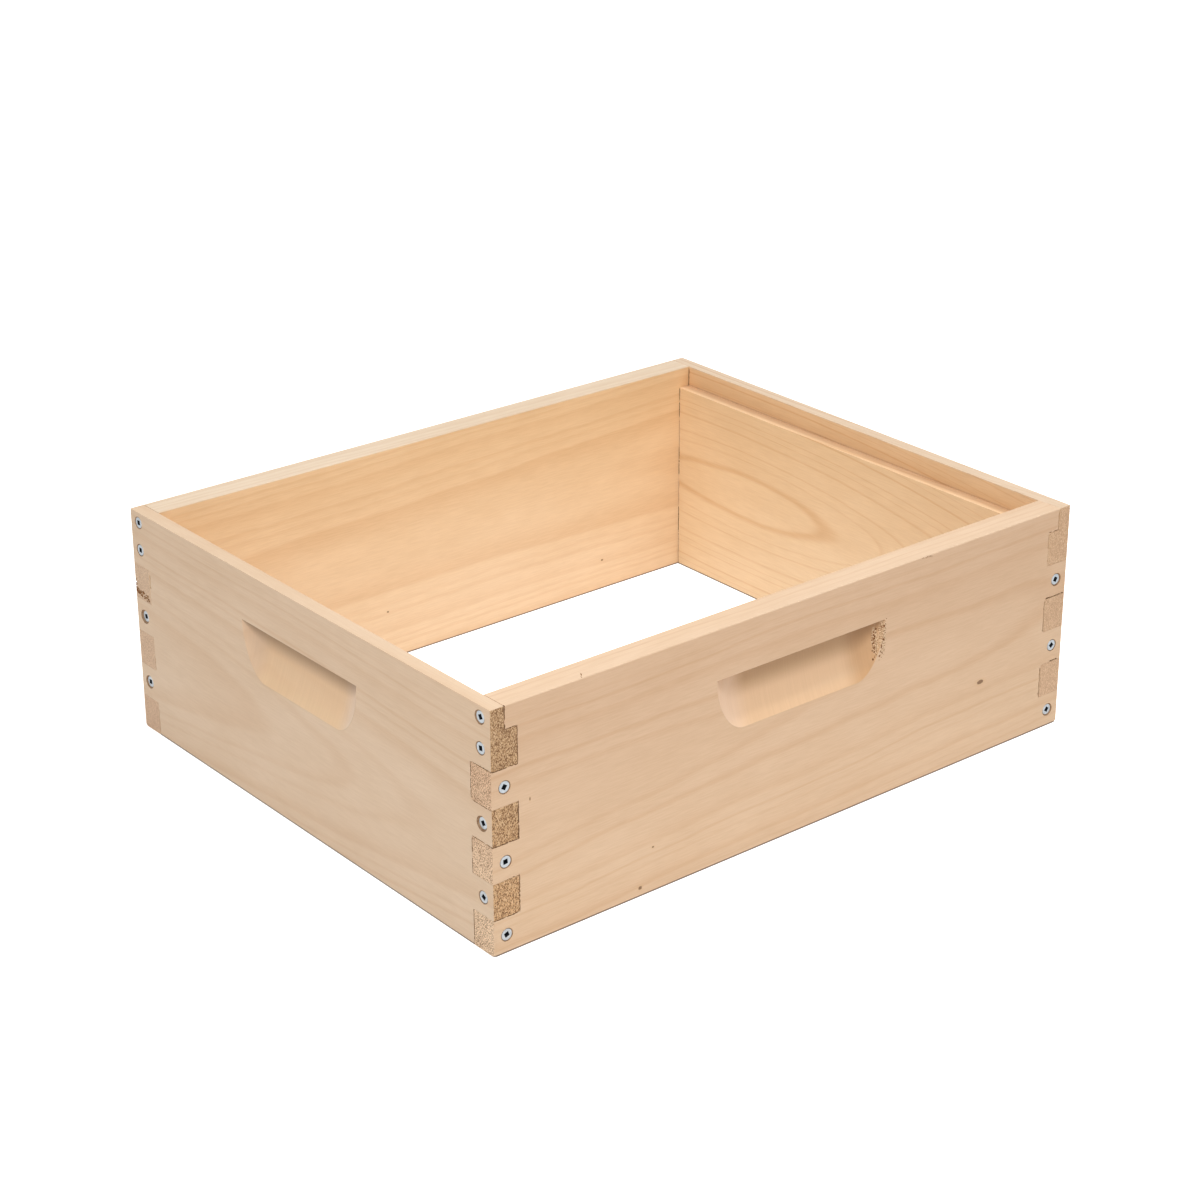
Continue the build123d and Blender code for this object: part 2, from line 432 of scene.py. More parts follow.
def growth_rings_group():
    """Rings of a log round its pith: a mask of the dark summer bands."""
    inputs = {
        "Board Point": "Vector", "Pith Depth": "Float", "Pith Height": "Float", "Run Out": "Float",
        "Climb": "Float", "Bow": "Float", "Bow Centre": "Float", "Ring Width": "Float", "Wander": "Float",
        "Spring": "Float",
    }
    bench, given, out = node_group("Growth Rings", inputs, {"Band": "Float"})
    along, through, height = bench.split(given["Board Point"])
    from_centre = bench.math("SUBTRACT", along, given["Bow Centre"])
    bowed = bench.times(from_centre, from_centre, given["Bow"])
    depth = bench.math("ADD", given["Pith Depth"], bowed)
    across = bench.math("SUBTRACT", through, bench.math("MULTIPLY_ADD", along, given["Run Out"], depth))
    level = bench.math("MULTIPLY_ADD", along, given["Climb"], given["Pith Height"])
    upwards = bench.math("SUBTRACT", height, level)
    squares = bench.math("MULTIPLY_ADD", across, across, bench.times(upwards, upwards))
    drift = bench.math("SUBTRACT", bench.noise(given["Board Point"], (6.0, 20.0, 20.0), detail=3.0), 0.5)
    radius = bench.math("MULTIPLY_ADD", drift, given["Wander"], bench.math("SQRT", squares))
    count = bench.math("DIVIDE", radius, given["Ring Width"])
    uneven = bench.math("SINE", bench.times(count, 2.1))
    count = bench.math("MULTIPLY_ADD", uneven, 0.3, count)
    season = bench.math("FRACT", count)
    year = bench.math("FLOOR", count)
    luck = bench.add("ShaderNodeTexWhiteNoise", {"W": year}, noise_dimensions="1D").outputs[0]
    summer = bench.times(bench.rise(season, given["Spring"], 0.68), bench.fall(season, 0.68, 0.88))
    bench.feed(out["Band"], bench.times(summer, bench.span(luck, 0.4, 1.0)))
    return bench.tree


def fibre_group():
    """Fine streaks and short dark flecks that lie along the grain, and broad clouds of tone."""
    outputs = {"Streak": "Float", "Fleck": "Float", "Cloud": "Float"}
    bench, given, out = node_group("Fibre", {"Board Point": "Vector"}, outputs)
    point = given["Board Point"]
    fine = bench.noise(point, (55.0, 1100.0, 1100.0), detail=2.0, roughness=0.6)
    broad = bench.noise(point, (9.0, 120.0, 120.0))
    short = bench.noise(point, (110.0, 1500.0, 1500.0), detail=1.0)
    bench.feed(out["Streak"], bench.math("MULTIPLY_ADD", fine, 0.8, bench.times(broad, 0.2)))
    bench.feed(out["Fleck"], bench.rise(short, 0.66, 0.80))
    bench.feed(out["Cloud"], bench.noise(point, (12.0, 30.0, 30.0), detail=5.0, roughness=0.62))
    return bench.tree


def end_grain_group():
    """Crushed and torn fibre ends: dark pits, pale tufts and their height."""
    inputs = {"Board Point": "Vector", "Pits": "Float"}
    outputs = {"Pit": "Float", "Tuft": "Float", "Height": "Float"}
    bench, given, out = node_group("End Grain", inputs, outputs)
    point = given["Board Point"]
    rough = bench.noise(point, (1800.0, 1800.0, 1080.0), detail=2.0, roughness=0.55)
    patch = bench.noise(point, (140.0, 140.0, 140.0))
    mixed = bench.math("MULTIPLY_ADD", patch, 0.10, bench.times(rough, 0.90))
    bench.feed(out["Pit"], bench.times(bench.fall(mixed, 0.455, 0.495), given["Pits"]))
    bench.feed(out["Tuft"], bench.rise(mixed, 0.53, 0.64))
    bench.feed(out["Height"], rough)
    return bench.tree


def pin_knot_group():
    """Small round knot: a dark core and a soft halo."""
    inputs = {"Board Point": "Vector", "Middle": "Vector", "Size": "Vector"}
    bench, given, out = node_group("Pin Knot", inputs, {"Core": "Float", "Halo": "Float"})
    ragged = bench.add("ShaderNodeTexNoise", {"Vector": given["Board Point"], "Scale": 700.0}).outputs[0]
    offset = bench.vector("SUBTRACT", given["Board Point"], given["Middle"])
    distance = bench.vector("LENGTH", bench.vector("DIVIDE", offset, given["Size"]))
    reach = bench.math("ADD", distance, bench.span(ragged, -0.35, 0.35))
    bench.feed(out["Core"], bench.fall(reach, 0.75, 1.05))
    bench.feed(out["Halo"], bench.fall(reach, 0.7, 2.4))
    return bench.tree


GROUP_MAKERS = {
    "Growth Rings": growth_rings_group,
    "Fibre": fibre_group,
    "End Grain": end_grain_group,
    "Pin Knot": pin_knot_group,
}


def wood_group(name):
    """A shared wood group, built the first time that it is asked for."""
    return bpy.data.node_groups.get(name) or GROUP_MAKERS[name]()


class BoardSpot:
    """Where a shaded point lies in its board's own frame, and how deep under the outer face."""

    def __init__(self, bench, node, turn):
        is_end = node.endswith("end_board")
        middle = (HALF_LENGTH if is_end else HALF_WIDTH) - BOARD_THICKNESS / 2
        coordinates = bench.add("ShaderNodeTexCoord").outputs
        mapping = bench.add("ShaderNodeMapping", {
            "Vector": coordinates["Object"], "Location": (0.0, middle, -HEIGHT / 2),
            "Rotation": (0.0, 0.0, turn)})
        self.point = mapping.outputs[0]
        self.along, self.through, self.height = bench.split(self.point)
        self.from_middle = bench.math("ABSOLUTE", self.along)
        self.cut_depth = bench.math("ADD", self.through, BOARD_THICKNESS / 2)
        self.rim = bench.rise(self.height, HEIGHT / 2 - 1.0 * MM, HEIGHT / 2 - 0.3 * MM)
        grain = (1.0, 0.0, 0.0) if is_end else (0.0, 1.0, 0.0)
        facing = bench.vector("DOT_PRODUCT", coordinates["Normal"], grain)
        self.facing_end = bench.math("ABSOLUTE", facing)


def foot_to_top(bench, spot, colours):
    """Colour that runs from the first of two near the board's foot to the second near its top."""
    low, high = 25 * MM - HEIGHT / 2, 150 * MM - HEIGHT / 2
    inputs = {"Value": spot.height, "From Min": low, "From Max": high}
    return bench.blend(bench.add("ShaderNodeMapRange", inputs).outputs[0], *colours)


def planed_faces(bench, spot, colour, fibre, look, settings):
    """Streaks, clouds and dark flecks on planed wood, the tints of its faces, and a painted sheen and
    shade on its top edge.
    """
    streak = bench.rise(fibre["Streak"], 0.35, 0.65)
    colour = bench.tint(colour, streak, (0.965, 0.952, 0.935), (1.025, 1.032, 1.040))
    cloud = bench.rise(fibre["Cloud"], 0.3, 0.7)
    colour = bench.tint(colour, cloud, (0.975, 0.960, 0.935), (1.020, 1.027, 1.035))
    colour = bench.blend(bench.times(fibre["Fleck"], 0.18), colour, settings.band_colour)
    outside = bench.fall(spot.cut_depth, 0.3 * MM, 2.5 * MM)
    inner_tint = foot_to_top(bench, spot, look["inner"])
    # The outer tint darkens towards the top: painted shade, in place of the brighter light near the floor
    outer_tint = foot_to_top(bench, spot, look["outer"])
    # Top edge: the board's edge tint, a painted sheen and shade, paler and cooler on the far boards
    return bench.tint(colour, spot.rim, bench.blend(outside, inner_tint, outer_tint), look["edge"])


def frame_rest(bench, spot, colour):
    """Painted shade in the rabbet that the frames hang in: a ledge, darker by the upstand and with a
    painted highlight along its arris, and an upstand with a little painted shade.
    """
    ledge_height = REST_HEIGHT - HEIGHT / 2
    above = bench.rise(spot.height, ledge_height - 0.4 * MM, ledge_height)
    inside = bench.rise(spot.through, -2 * MM, 0.0)
    rabbet = bench.times(above, inside, bench.math("SUBTRACT", 1.0, spot.rim))
    # Ledge: painted shade towards the upstand, painted highlight along the arris
    arris = bench.rise(spot.through, 4.5 * MM, 9.5 * MM)
    ledge = bench.blend(arris, (0.79, 0.72, 0.71), (1.05, 1.03, 1.06))
    # Upstand: a little painted shade
    upstand = bench.rise(spot.height, ledge_height + 0.3 * MM, ledge_height + 1.5 * MM)
    return bench.blend(rabbet, colour, bench.blend(upstand, ledge, (0.98, 0.93, 0.89)), "MULTIPLY")


def hand_hold(bench, spot, colour, bare, hold):
    """Scoop that was milled across the grain, with a painted shadow under its lip and painted light and
    shade on its end walls and its foot.
    """
    under_lip = bench.math("SUBTRACT", HOLD_LIP - HEIGHT / 2, spot.height)
    scooped = bench.times(
        bench.rise(spot.cut_depth, 0.05 * MM, 0.4 * MM), bench.fall(spot.cut_depth, 10.5 * MM, 11 * MM),
        bench.fall(spot.from_middle, 79 * MM, 80 * MM),
        bench.rise(under_lip, -1 * MM, 0.0), bench.fall(under_lip, 41 * MM, 42 * MM))
    marks = bench.noise(spot.point, (900.0, 30.0, 30.0))
    milled = bench.tint(bare, marks, (0.95, 0.94, 0.93), (1.05, 1.06, 1.07))
    # The end wall towards the start of the grain: painted lighter on the side boards, darker on the end
    # boards
    at_start = bench.fall(spot.along, -57 * MM, -41 * MM)
    # Painted shadow of the lip: full where the scoop lies steeply under the lip, weaker at the start
    steepness = bench.math("DIVIDE", under_lip, bench.math("MAXIMUM", spot.cut_depth, 0.5 * MM))
    shade = bench.times(
        bench.fall(steepness, 0.4, hold["lip_run"]), bench.span(at_start, 1.0, hold["start_shade"]))
    # Painted light and shade on the end walls and the foot, and the painted lip shadow, over the floor
    # tint
    tints = {
        "floor": 1.0, "start": at_start, "finish": bench.rise(spot.along, 38 * MM, 60 * MM),
        "foot": bench.rise(under_lip, 30 * MM, 37 * MM), "lip": shade,
    }
    for part, factor in tints.items():
        milled = bench.blend(factor, milled, hold[part], "MULTIPLY")
    return bench.blend(scooped, colour, milled)


def small_marks(bench, spot, marks):
    """Core and halo of each small mark, from its middle and half sizes in millimetres."""
    for middle, size in marks:
        inputs = {"Board Point": spot.point, "Middle": Vector(middle) * MM, "Size": Vector(size) * MM}
        yield bench.group(wood_group("Pin Knot"), inputs)


def board_material(node, look, settings):
    """Softwood cut from its own log: greyer outside, with speckled sawn ends and a few pin knots."""
    material = bpy.data.materials.new(f"softwood_{node}")
    material.use_nodes = True
    bench = NodeBench(material.node_tree)
    shader = material.node_tree.nodes["Principled BSDF"]
    spot = BoardSpot(bench, node, look["turn"])
    sawing = (
        "pith_depth", "pith_height", "run_out", "climb", "bow", "bow_centre", "ring_width", "wander",
        "spring")
    log = {label(name): look[name] for name in sawing}
    rings = bench.group(wood_group("Growth Rings"), {"Board Point": spot.point, **log})
    fibre = bench.group(wood_group("Fibre"), {"Board Point": spot.point})
    ends = bench.group(wood_group("End Grain"), {"Board Point": spot.point, "Pits": look["end_pits"]})

    # Faces, the frame rest and the hand hold with their painted light and shade, and a painted contact
    # shadow along the edge that the board stands on
    banded = bench.blend(
        bench.times(rings["Band"], look["bands"]), settings.face_colour, settings.band_colour)
    colour = planed_faces(bench, spot, banded, fibre, look, settings)
    if node.endswith("end_board"):
        colour = frame_rest(bench, spot, colour)
    bare = bench.blend(0.5, banded, settings.face_colour)
    colour = hand_hold(bench, spot, colour, bare, look["hold"])
    # Painted contact shadow: the lowest millimetre of each board is darkened
    painted_contact_shadow = bench.fall(spot.height, 0.8 * MM - HEIGHT / 2, 1.4 * MM - HEIGHT / 2)
    colour = bench.blend(painted_contact_shadow, colour, (0.20, 0.18, 0.18), "MULTIPLY")

    # Knots, sawn ends and frayed fibre
    for knot in small_marks(bench, spot, KNOTS.get(node, [])):
        colour = bench.blend(bench.times(knot["Halo"], 0.30), colour, settings.band_colour)
        colour = bench.blend(bench.times(knot["Core"], 0.92), colour, settings.pit_colour)
    half_length = HALF_WIDTH if node.endswith("end_board") else HALF_LENGTH
    at_end = bench.rise(spot.from_middle, half_length - 3 * MM, half_length - 1 * MM)
    sawn = bench.times(bench.rise(spot.facing_end, 0.80, 0.97), at_end)
    end_colour = foot_to_top(bench, spot, look["ends"])
    end_colour = bench.blend(bench.times(ends["Tuft"], 0.6), end_colour, settings.face_colour)
    end_colour = bench.blend(ends["Pit"], end_colour, settings.pit_colour)
    colour = bench.blend(sawn, colour, end_colour)
    for fray in small_marks(bench, spot, FRAYS.get(node, [])):
        colour = bench.blend(bench.times(fray["Core"], 0.60), colour, settings.face_colour)
        torn = bench.times(fray["Core"], bench.rise(ends["Pit"], 0.0, 0.6))
        colour = bench.blend(torn, colour, settings.torn_colour)

    # Brown torn fibre, and painted shade in open seams and screw seats
    wear_and_shade = bench.add("ShaderNodeAttribute", attribute_name="wear_and_shade").outputs["Fac"]
    patchy = bench.span(bench.noise(spot.point, (500.0, 500.0, 500.0)), 0.35, 1.25)
    worn = bench.math("MINIMUM", bench.times(bench.rise(wear_and_shade, 0.0, 0.5), patchy), 1.0)
    shade = bench.blend(bench.rise(wear_and_shade, 0.5, 0.8), settings.torn_colour, settings.pit_colour)
    bench.feed(shader.inputs["Base Color"], bench.blend(worn, colour, shade))

    # Sheen and relief
    polish = bench.span(fibre["Streak"], 0.46, 0.62)
    coarse = bench.math("MULTIPLY_ADD", sawn, 0.28, bench.times(worn, 0.35))
    bench.feed(shader.inputs["Roughness"], bench.math("ADD", polish, coarse))
    planed = bench.math("MULTIPLY_ADD", rings["Band"], 0.05, bench.times(fibre["Streak"], 0.30))
    relief = bench.math("ADD", planed, bench.times(ends["Height"], sawn, 1.6))
    bump = bench.add("ShaderNodeBump", {"Height": relief, "Strength": 0.55, "Distance": 0.35 * MM})
    bench.feed(shader.inputs["Normal"], bump.outputs[0])
    return material


def in_corner(point):
    """Whether a point is inside the square column where two boards lap."""
    reach = BOARD_THICKNESS + 1 * MM
    return abs(point.x) > HALF_WIDTH - reach and abs(point.y) > HALF_LENGTH - reach


def outer_planes(point, slack):
    """How many pairs of the box's outer planes a point lies in."""
    gaps = (HALF_WIDTH - abs(point.x), HALF_LENGTH - abs(point.y), min(point.z, HEIGHT - point.z))
    return sum(gap < slack for gap in gaps)


def screw_places():
    """Head centre and outward direction of each screw by name, from its node's box."""
    places = {}
    for node in SCREW_NODES:
        low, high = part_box(node)
        size = high - low
        axis = max(range(3), key=lambda i: size[i])
        middle = (low + high) / 2
        outward = Vector((0.0, 0.0, 0.0))
        outward[axis] = 1.0 if middle[axis] > 0 else -1.0
        places[node] = (middle + outward * SCREW_LENGTH / 2, outward)
    return places


def head_board(node):
    """Name of the board that a screw's head is sunk in."""
    end, side, kind = node.split("_")[:3]
    return f"{end}_end_board" if kind == "end" else f"{side}_side_board"


def is_bore(centre, area, places):
    """Whether a small face belongs to the wall of a screw hole."""
    if area > BORE_FACE_AREA:
        return False
    for head, outward in places.values():
        offset = centre - head
        depth = offset.dot(outward)
        from_axis = (offset - outward * depth).length
        if from_axis < BORE_REACH and abs(depth + SCREW_LENGTH / 2) < SCREW_LENGTH:
            return True
    return False


def eased_edges(bm):
    """Mark the free edges for easing; edges inside a joint or round a screw hole stay sharp."""
    weights = bm.edges.layers.float.new("bevel_weight_edge")
    places = screw_places()
    kept = set()
    for face in bm.faces:
        centre = face.calc_center_median()
        lapped = in_corner(centre) and not outer_planes(centre, 0.01 * MM)
        if lapped or is_bore(centre, face.calc_area(), places):
            kept.add(face)
    for edge in bm.edges:
        sides = set(edge.link_faces)
        if len(sides) == 2 and not sides & kept and edge.calc_face_angle() > radians(24):
            edge[weights] = 1.0


def clean_board(node):
    """Merged copy of a board's mesh, with its free edges marked for easing."""
    bm = bmesh.new()
    bm.from_mesh(frame["nodes"][node].data)
    bmesh.ops.remove_doubles(bm, verts=bm.verts[:], dist=0.002 * MM)
    bmesh.ops.dissolve_limit(bm, angle_limit=radians(1), verts=bm.verts[:], edges=bm.edges[:])
    worn = [v for v in bm.verts if v.co.z < HEIGHT / 2 and outer_planes(v.co, 0.01 * MM) == 3]
    bmesh.ops.bevel(bm, geom=worn, offset=CORNER_WEAR, segments=4, profile=0.5, affect="VERTICES")
    eased_edges(bm)
    for face in bm.faces:
        face.smooth = True
    mesh = bpy.data.meshes.new(f"{node}_clean")
    bm.to_mesh(mesh)
    bm.free()
    return mesh


def add_lump(bm, luck, place, size):
    """Ragged lump about a place, in millimetres."""
    scale = [s * luck.uniform(0.6, 1.35) for s in size]
    for vert in bmesh.ops.create_icosphere(bm, subdivisions=2, radius=1.0)["verts"]:
        ragged = 1.0 + 0.45 * noise.noise(vert.co * 1.7 + place)
        vert.co = (place + Vector([c * s * ragged for c, s in zip(vert.co, scale)])) * MM


def add_tear(bm, luck, skin, start, end, stray, count, size):
    """Lumps strewn over a board's skin along a run of torn fibre."""
    for index in range(count):
        share = (index + luck.random()) / count
        aside = Vector([luck.uniform(-stray, stray) for _ in range(3)])
        place = Vector(start).lerp(Vector(end), share) + aside
        on_skin = skin.find_nearest(place * MM)[0] / MM
        add_lump(bm, luck, on_skin, [size * luck.uniform(0.5, 1.3)] * 3)


def add_open_seam(bm, luck, start, end, half_width):
    """Slivers along a seam, long in its direction, some of them left out."""
    run = Vector(end) - Vector(start)
    along = max(range(3), key=lambda i: abs(run[i]))
    across = 2 if along < 2 else (1 if abs(start[0]) > HALF_WIDTH / MM - 1.0 else 0)
    size = [1.6, 1.6, 1.6]
    size[across] = half_width * 1.6
    count = round(run.length / 1.7)
    for index in range(count):
        if luck.random() < 0.85:
            share = (index + luck.uniform(0.2, 0.8)) / count
            add_lump(bm, luck, Vector(start) + run * share, size)


def add_deep_seat(bm, node):
    """Countersink cone of one deep screw."""
    head, outward = screw_places()[node]
    depth = 3.0 * MM
    slope = 0.87
    clearance = 0.1 * MM
    mouth = SCREW_HEAD / 2 + clearance + depth / 2 * slope
    bottom = mouth - depth * slope
    turn = Vector((0.0, 0.0, 1.0)).rotation_difference(outward).to_matrix().to_4x4()
    place = Matrix.Translation(head - outward * DEEP_SCREWS[node] * MM) @ turn
    bmesh.ops.create_cone(
        bm, cap_ends=True, segments=28, radius1=bottom, radius2=mouth, depth=depth, matrix=place)


def cut_by(piece, name, bm, mark):
    """Cut a closed shape out of a piece, with a marker material on the cut faces."""
    mesh = bpy.data.meshes.new(name)
    bm.to_mesh(mesh)
    bm.free()
    mesh.materials.append(mark)
    cutter = add_object(name, mesh)
    cut = piece.modifiers.new(name, "BOOLEAN")
    cut.operation = "DIFFERENCE"
    cut.object = cutter
    cut.use_self = True
    cut.material_mode = "TRANSFER"
    return cutter


def wear_board(piece, node, marks):
    """Cut a board's torn fibre, open seams and deep screw seats."""
    luck = random.Random(TEAR_SEED)
    skin = BVHTree.FromPolygons(
        [v.co for v in piece.data.vertices], [p.vertices for p in piece.data.polygons])
    cutters = []
    seats = [name for name in DEEP_SCREWS if head_board(name) == node]
    if seats:
        bm = bmesh.new()
        for name in seats:
            add_deep_seat(bm, name)
        cutters.append(cut_by(piece, f"{node}_seats", bm, marks["seat"]))
    if node in TEARS:
        bm = bmesh.new()
        for run in TEARS[node]:
            add_tear(bm, luck, skin, *run)
        cutters.append(cut_by(piece, f"{node}_tears", bm, marks["torn"]))
    if node in OPEN_SEAMS:
        bm = bmesh.new()
        for run in OPEN_SEAMS[node]:
            add_open_seam(bm, luck, *run)
        cutters.append(cut_by(piece, f"{node}_seams", bm, marks["seam"]))
    return cutters


def add_object(name, mesh):
    """New object of a mesh, at the origin."""
    piece = bpy.data.objects.new(name, mesh)
    bpy.context.scene.collection.objects.link(piece)
    return piece


def work_in_modifiers(piece):
    """Replace a piece's mesh by what its modifiers make of it, and drop them."""
    depsgraph = bpy.context.evaluated_depsgraph_get()
    worked = bpy.data.meshes.new_from_object(piece.evaluated_get(depsgraph), depsgraph=depsgraph)
    piece.modifiers.clear()
    piece.data = worked
    worked.name = piece.name


def mark_wear_and_shade(mesh, marks):
    """Turn the marker materials of the cuts into a face attribute, which also paints shade into the
    screw holes.
    """
    depths = {marks[name].name: depth for name, depth in WEAR_AND_SHADE_LEVELS.items()}
    names = [material.name for material in mesh.materials]
    wear_and_shade = mesh.attributes.new("wear_and_shade", "FLOAT", "FACE").data
    places = screw_places()
    for polygon in mesh.polygons:
        mark = names[polygon.material_index]
        if mark in (marks["torn"].name, marks["seam"].name):
            polygon.use_smooth = False
        elif is_bore(polygon.center, polygon.area, places):
            mark = marks["seat"].name
        wear_and_shade[polygon.index].value = depths[mark]
        polygon.material_index = 0
    mesh.materials.clear()


def sharpen(mesh):
    """Mark edges that turn by more than an easing's step as sharp, and close gaps of one small face."""
    bm = bmesh.new()
    bm.from_mesh(mesh)
    bmesh.ops.holes_fill(bm, edges=[edge for edge in bm.edges if edge.is_boundary], sides=4)
    for edge in bm.edges:
        edge.smooth = len(edge.link_faces) == 2 and edge.calc_face_angle() < radians(35)
    bm.to_mesh(mesh)
    bm.free()


def make_board(node, settings):
    """Dress one board and put it in its node's place."""
    marks = {name: bpy.data.materials.new(f"mark_{name}") for name in WEAR_AND_SHADE_LEVELS}
    piece = add_object(f"{node}_dressed", clean_board(node))
    piece.data.materials.append(marks["face"])
    bevel = piece.modifiers.new("Easing", "BEVEL")
    bevel.width = settings.easing
    bevel.segments = 3
    bevel.limit_method = "WEIGHT"
    bevel.use_clamp_overlap = False
    cutters = wear_board(piece, node, marks)
    work_in_modifiers(piece)
    for cutter in cutters:
        bpy.data.objects.remove(cutter)
    mark_wear_and_shade(piece.data, marks)
    for mark in marks.values():
        bpy.data.materials.remove(mark)
    sharpen(piece.data)
    normals = piece.modifiers.new("Shading", "WEIGHTED_NORMAL")
    normals.mode = "FACE_AREA_WITH_ANGLE"
    normals.weight = 100
    normals.keep_sharp = True
    work_in_modifiers(piece)
    piece.data.materials.append(board_material(node, BOARD_LOOKS[node], settings))
    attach(piece, BODY)
    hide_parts(node)


class HIVE_OT_end_boards(bpy.types.Operator):
    """Dress the two end boards, which carry the frame rests"""

    bl_idname = "hive.end_boards"
    bl_label = "End Boards"

    def execute(self, context):
        for node in ("front_end_board", "rear_end_board"):
            make_board(node, context.scene.hive_wood)
        return {"FINISHED"}


class HIVE_OT_side_boards(bpy.types.Operator):
    """Dress the two side boards"""

    bl_idname = "hive.side_boards"
    bl_label = "Side Boards"

    def execute(self, context):
        for node in ("right_side_board", "left_side_board"):
            make_board(node, context.scene.hive_wood)
        return {"FINISHED"}


TURNED_SIDES = 28


def turned_band(bench, low, high, low_radius, high_radius):
    """Open band of a turned shape between two heights."""
    cone = bench.add("GeometryNodeMeshCone", {
        "Vertices": TURNED_SIDES, "Depth": bench.math("SUBTRACT", high, low), "Radius Bottom": low_radius,
        "Radius Top": high_radius}, fill_type="NONE")
    return lifted(bench, cone.outputs["Mesh"], low)


def lifted(bench, geometry, height, turn=0.0):
    """Geometry moved up to a height and turned about Z."""
    place = bench.add("ShaderNodeCombineXYZ", {"Z": height}).outputs[0]
    inputs = {"Geometry": geometry, "Translation": place, "Rotation": (0.0, 0.0, turn)}
    return bench.add("GeometryNodeTransform", inputs).outputs[0]


def joined(bench, pieces):
    """Several geometries as one."""
    node = bench.add("GeometryNodeJoinGeometry")
    for piece in pieces:
        bench.feed(node.inputs[0], piece)
    return node.outputs[0]


def thread(bench, bottom, top, bottom_radius, top_radius, pitch, depth):
    """Ridge of a screw thread between two heights."""
    height = bench.math("SUBTRACT", top, bottom)
    spiral = bench.add("GeometryNodeCurveSpiral", {
        "Resolution": 12, "Rotations": bench.math("DIVIDE", height, pitch), "Start Radius": bottom_radius,
        "End Radius": top_radius, "Height": height}).outputs[0]
    level = bench.add("GeometryNodeSetCurveNormal", {"Curve": spiral}, mode="Z_UP").outputs[0]
    ridge = bench.add("GeometryNodeCurvePrimitiveCircle", {"Resolution": 3, "Radius": depth}).outputs[0]
    inputs = {"Curve": level, "Profile Curve": ridge, "Fill Caps": True}
    return lifted(bench, bench.add("GeometryNodeCurveToMesh", inputs).outputs[0], bottom)


def one_screw(bench, given):
    """Countersunk wood screw about Z, its head's top at z = 0: square recess, shank, thread and point."""
    head = bench.math("DIVIDE", given["Head Diameter"], 2.0)
    shank = bench.math("DIVIDE", given["Shank Diameter"], 2.0)
    core = bench.math("DIVIDE", given["Core Diameter"], 2.0)
    slope = bench.math("TANGENT", bench.math("DIVIDE", given["Head Angle"], 2.0))
    rim_low = bench.times(given["Rim"], -1.0)
    rim_radius = bench.math("MULTIPLY_ADD", rim_low, slope, head)
    crown = bench.math("SUBTRACT", rim_radius, bench.times(given["Rim"], 0.6))
    neck = bench.math("DIVIDE", bench.math("SUBTRACT", shank, head), slope)
    shank_end = bench.times(given["Shank Length"], -1.0)
    core_start = bench.math("SUBTRACT", shank_end, bench.math("SUBTRACT", shank, core))
    tip = bench.times(given["Length"], -1.0)
    point_start = bench.math("ADD", tip, given["Point Length"])
    inputs = {"Vertices": TURNED_SIDES, "Radius": crown}
    body = joined(bench, [
        bench.add("GeometryNodeMeshCircle", inputs, fill_type="NGON").outputs[0],
        turned_band(bench, rim_low, 0.0, rim_radius, crown),
        turned_band(bench, neck, rim_low, shank, rim_radius),
        turned_band(bench, shank_end, neck, shank, shank),
        turned_band(bench, core_start, shank_end, core, shank),
        turned_band(bench, point_start, core_start, core, core),
        turned_band(bench, tip, point_start, 0.0, core),
    ])
    body = bench.add("GeometryNodeMergeByDistance", {"Geometry": body, "Distance": 0.001 * MM}).outputs[0]

    corner = bench.times(given["Drive Width"], 0.5 ** 0.5)
    mouth = 0.2 * MM
    punch = bench.add("GeometryNodeMeshCone", {
        "Vertices": 4, "Radius Bottom": bench.times(corner, 0.82), "Radius Top": corner,
        "Depth": bench.math("ADD", given["Drive Depth"], mouth)})
    floor = bench.times(given["Drive Depth"], -1.0)
    drive = lifted(bench, punch.outputs["Mesh"], floor, pi / 4)
    inputs = {"Mesh 1": body, "Mesh 2": drive}
    body = bench.add("GeometryNodeMeshBoolean", inputs, operation="DIFFERENCE").outputs[0]

    # Faces of the square recess, which the zinc material paints in shade
    x, y, z = bench.split(bench.add("GeometryNodeInputPosition").outputs[0])
    off_axis = bench.math("MAXIMUM", bench.math("ABSOLUTE", x), bench.math("ABSOLUTE", y))
    within = bench.math("LESS_THAN", off_axis, bench.times(given["Drive Width"], 0.51))
    sunk = bench.times(within, bench.math("LESS_THAN", z, -0.05 * MM))
    above_floor = bench.math("GREATER_THAN", z, bench.math("SUBTRACT", floor, 0.1 * MM))
    recess = bench.times(sunk, above_floor)
    body = bench.add("GeometryNodeStoreNamedAttribute", {
        "Geometry": body, "Name": "recess", "Value": recess}, data_type="FLOAT", domain="FACE").outputs[0]

    pitch = given["Thread Pitch"]
    ridge = bench.math("SUBTRACT", shank, core)
    threads = [
        thread(bench, point_start, core_start, core, core, pitch, ridge),
        thread(bench, bench.math("ADD", tip, 1.2 * MM), point_start, 0.2 * MM, core, pitch, 0.3 * MM),
    ]
    return joined(bench, [body, *threads])


SCREW_SETTINGS = (
    "head_angle", "rim", "shank_diameter", "core_diameter", "shank_length", "point_length", "drive_width",
    "drive_depth", "thread_pitch")


